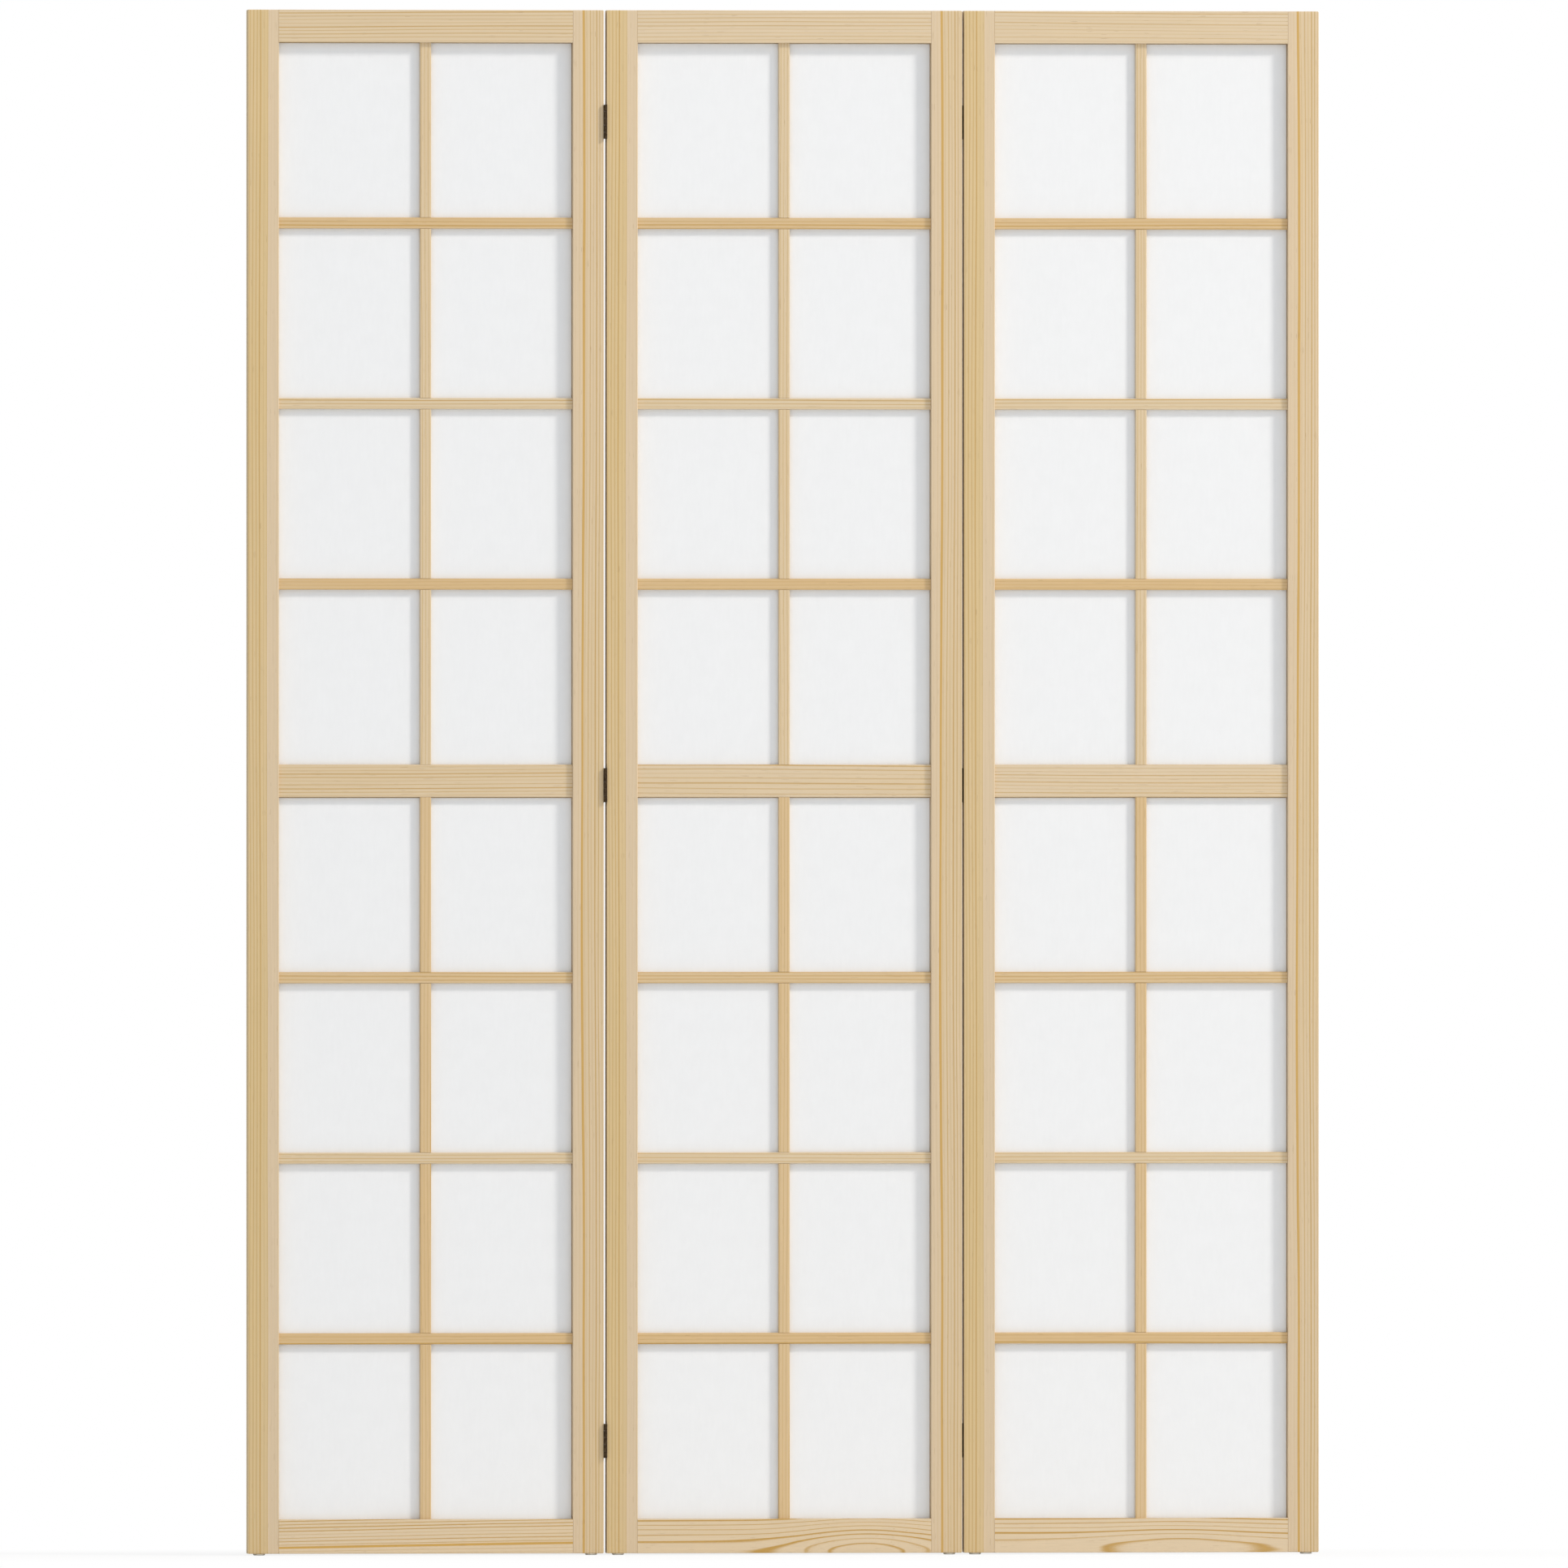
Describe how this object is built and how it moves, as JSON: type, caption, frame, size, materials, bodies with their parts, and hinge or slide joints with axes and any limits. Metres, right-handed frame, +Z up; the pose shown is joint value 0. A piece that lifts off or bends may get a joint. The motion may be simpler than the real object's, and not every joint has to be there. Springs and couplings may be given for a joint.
{
  "type": "shoji folding screen",
  "caption": "Free-standing folding room divider: pine-framed lattice panels with translucent paper, joined in a zig-zag by butt hinges.",
  "frame": {"origin": "on the floor, under the middle of the screen opened flat", "axes": "+X to the right along the screen, -Y towards its front, +Z up"},
  "size_m": [1.2564, 0.0264, 1.8],
  "materials": {
    "stile_pine": "satin clear-finished pine with straight vertical grain",
    "rail_pine": "satin clear-finished pine, paler, grain along the rail",
    "lattice_pine": "satin clear-finished pine strips, grain along each bar",
    "paper": "matt white laminated shoji paper",
    "glide": "pale grey smooth plastic",
    "hinge": "dark bronze"
  },
  "bodies": {
    "centre_panel": {"centre_panel_left_stile": "stile_pine", "centre_panel_left_glide": "glide", "centre_panel_right_stile": "stile_pine", "centre_panel_right_glide": "glide", "centre_panel_bottom_rail": "rail_pine", "centre_panel_middle_rail": "rail_pine", "centre_panel_top_rail": "rail_pine", "centre_panel_front_lower_lattice": "lattice_pine", "centre_panel_back_lower_lattice": "lattice_pine", "centre_panel_lower_paper": "paper", "centre_panel_front_upper_lattice": "lattice_pine", "centre_panel_back_upper_lattice": "lattice_pine", "centre_panel_upper_paper": "paper", "left_bottom_hinge_fixed_leaf": "hinge", "left_bottom_hinge_pin": "hinge", "left_middle_hinge_fixed_leaf": "hinge", "left_middle_hinge_pin": "hinge", "left_top_hinge_fixed_leaf": "hinge", "left_top_hinge_pin": "hinge", "right_bottom_hinge_fixed_leaf": "hinge", "right_bottom_hinge_pin": "hinge", "right_middle_hinge_fixed_leaf": "hinge", "right_middle_hinge_pin": "hinge", "right_top_hinge_fixed_leaf": "hinge", "right_top_hinge_pin": "hinge"},
    "left_panel": {"left_panel_left_stile": "stile_pine", "left_panel_left_glide": "glide", "left_panel_right_stile": "stile_pine", "left_panel_right_glide": "glide", "left_panel_bottom_rail": "rail_pine", "left_panel_middle_rail": "rail_pine", "left_panel_top_rail": "rail_pine", "left_panel_front_lower_lattice": "lattice_pine", "left_panel_back_lower_lattice": "lattice_pine", "left_panel_lower_paper": "paper", "left_panel_front_upper_lattice": "lattice_pine", "left_panel_back_upper_lattice": "lattice_pine", "left_panel_upper_paper": "paper", "left_bottom_hinge_swing_leaf": "hinge", "left_middle_hinge_swing_leaf": "hinge", "left_top_hinge_swing_leaf": "hinge"},
    "right_panel": {"right_panel_left_stile": "stile_pine", "right_panel_left_glide": "glide", "right_panel_right_stile": "stile_pine", "right_panel_right_glide": "glide", "right_panel_bottom_rail": "rail_pine", "right_panel_middle_rail": "rail_pine", "right_panel_top_rail": "rail_pine", "right_panel_front_lower_lattice": "lattice_pine", "right_panel_back_lower_lattice": "lattice_pine", "right_panel_lower_paper": "paper", "right_panel_front_upper_lattice": "lattice_pine", "right_panel_back_upper_lattice": "lattice_pine", "right_panel_upper_paper": "paper", "right_bottom_hinge_swing_leaf": "hinge", "right_middle_hinge_swing_leaf": "hinge", "right_top_hinge_swing_leaf": "hinge"}
  },
  "joints": [
    {"name": "left_fold", "type": "hinge", "parent": "centre_panel", "child": "left_panel", "pos_m": [-0.20955, -0.0111, 0.9], "axis": [0, 0, 1], "range_deg": [0, 180]},
    {"name": "right_fold", "type": "hinge", "parent": "centre_panel", "child": "right_panel", "pos_m": [0.2102, 0.0111, 0.9], "axis": [0, 0, 1], "range_deg": [0, 180]}
  ]
}
